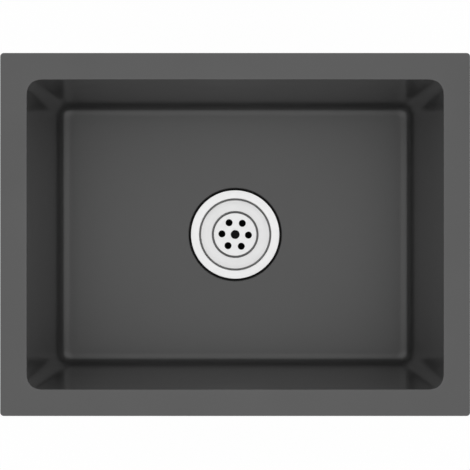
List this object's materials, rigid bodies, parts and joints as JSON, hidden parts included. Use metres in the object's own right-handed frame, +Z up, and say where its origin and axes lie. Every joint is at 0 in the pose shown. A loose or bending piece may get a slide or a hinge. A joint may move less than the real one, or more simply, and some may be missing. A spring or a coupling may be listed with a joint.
{
  "type": "inset kitchen sink",
  "caption": "Rectangular single-bowl inset kitchen sink with a flat rim, a central lift-out basket strainer, a drain outlet below and screw clamps under the rim.",
  "frame": {"origin": "centre of the worktop cut-out, on the worktop's top face, on the axis of the drain", "axes": "+X along the long side, -Y the front side, +Z up out of the bowl"},
  "size_m": [0.505, 0.39, 0.3673],
  "materials": {
    "coated_steel": "dark gun-metal coated stainless sheet, fine satin",
    "bright_steel": "bright brushed stainless",
    "zinc_steel": "zinc-plated steel",
    "black_rubber": "black moulded rubber",
    "seal_foam": "closed-cell foam strip",
    "sound_rubber": "matt bitumen rubber sound pad",
    "white_plastic": "white moulded plastic",
    "fibre": "pressed brown fibre"
  },
  "bodies": {
    "sink": {"bowl": "coated_steel", "rim_seal": "seal_foam", "pad_front": "sound_rubber", "pad_back": "sound_rubber", "pad_left": "sound_rubber", "pad_right": "sound_rubber", "floor_pads": "sound_rubber", "strainer_cup": "bright_steel", "flange_gasket": "black_rubber", "sink_gasket": "black_rubber", "friction_ring": "fibre", "lock_nut": "zinc_steel", "outlet_spider": "bright_steel", "tailpiece_washer": "white_plastic", "coupling_nut": "white_plastic", "tailpiece": "bright_steel", "weld_nuts": "zinc_steel", "clamp_bracket_front_left": "zinc_steel", "clamp_bracket_front_right": "zinc_steel", "clamp_bracket_back_left": "zinc_steel", "clamp_bracket_back_right": "zinc_steel"},
    "basket": {"basket_dish": "bright_steel", "basket_stopper": "black_rubber", "basket_stem": "zinc_steel"},
    "washer_front_left": {"clamp_washer_front_left": "zinc_steel"},
    "screw_front_left": {"clamp_screw_front_left": "zinc_steel"},
    "claw_front_left": {"clamp_claw_front_left": "zinc_steel"},
    "washer_front_right": {"clamp_washer_front_right": "zinc_steel"},
    "screw_front_right": {"clamp_screw_front_right": "zinc_steel"},
    "claw_front_right": {"clamp_claw_front_right": "zinc_steel"},
    "washer_back_left": {"clamp_washer_back_left": "zinc_steel"},
    "screw_back_left": {"clamp_screw_back_left": "zinc_steel"},
    "claw_back_left": {"clamp_claw_back_left": "zinc_steel"},
    "washer_back_right": {"clamp_washer_back_right": "zinc_steel"},
    "screw_back_right": {"clamp_screw_back_right": "zinc_steel"},
    "claw_back_right": {"clamp_claw_back_right": "zinc_steel"}
  },
  "joints": [
    {"name": "basket_lift", "type": "slide", "parent": "sink", "child": "basket", "axis": [0, 0, 1], "range_m": [0, 0.26]},
    {"name": "clamp_rise_front_left", "type": "slide", "parent": "sink", "child": "washer_front_left", "axis": [0, 0, 1], "range_m": [0, 0.025]},
    {"name": "screw_turn_front_left", "type": "hinge", "parent": "washer_front_left", "child": "screw_front_left", "pos_m": [-0.13, -0.1768, -0.06], "axis": [0, 0, 1], "range_deg": [0, 9000]},
    {"name": "claw_swing_front_left", "type": "hinge", "parent": "washer_front_left", "child": "claw_front_left", "pos_m": [-0.13, -0.1768, -0.06], "axis": [0, 0, -1], "range_deg": [0, 90]},
    {"name": "clamp_rise_front_right", "type": "slide", "parent": "sink", "child": "washer_front_right", "axis": [0, 0, 1], "range_m": [0, 0.025]},
    {"name": "screw_turn_front_right", "type": "hinge", "parent": "washer_front_right", "child": "screw_front_right", "pos_m": [0.13, -0.1768, -0.06], "axis": [0, 0, 1], "range_deg": [0, 9000]},
    {"name": "claw_swing_front_right", "type": "hinge", "parent": "washer_front_right", "child": "claw_front_right", "pos_m": [0.13, -0.1768, -0.06], "axis": [0, 0, 1], "range_deg": [0, 90]},
    {"name": "clamp_rise_back_left", "type": "slide", "parent": "sink", "child": "washer_back_left", "axis": [0, 0, 1], "range_m": [0, 0.025]},
    {"name": "screw_turn_back_left", "type": "hinge", "parent": "washer_back_left", "child": "screw_back_left", "pos_m": [-0.13, 0.1768, -0.06], "axis": [0, 0, 1], "range_deg": [0, 9000]},
    {"name": "claw_swing_back_left", "type": "hinge", "parent": "washer_back_left", "child": "claw_back_left", "pos_m": [-0.13, 0.1768, -0.06], "axis": [0, 0, 1], "range_deg": [0, 90]},
    {"name": "clamp_rise_back_right", "type": "slide", "parent": "sink", "child": "washer_back_right", "axis": [0, 0, 1], "range_m": [0, 0.025]},
    {"name": "screw_turn_back_right", "type": "hinge", "parent": "washer_back_right", "child": "screw_back_right", "pos_m": [0.13, 0.1768, -0.06], "axis": [0, 0, 1], "range_deg": [0, 9000]},
    {"name": "claw_swing_back_right", "type": "hinge", "parent": "washer_back_right", "child": "claw_back_right", "pos_m": [0.13, 0.1768, -0.06], "axis": [0, 0, -1], "range_deg": [0, 90]}
  ],
  "couplings": [
    {"joint": "screw_turn_front_left", "follows": "clamp_rise_front_left", "rad_per_m": 6283.2},
    {"joint": "screw_turn_front_right", "follows": "clamp_rise_front_right", "rad_per_m": 6283.2},
    {"joint": "screw_turn_back_left", "follows": "clamp_rise_back_left", "rad_per_m": 6283.2},
    {"joint": "screw_turn_back_right", "follows": "clamp_rise_back_right", "rad_per_m": 6283.2}
  ]
}
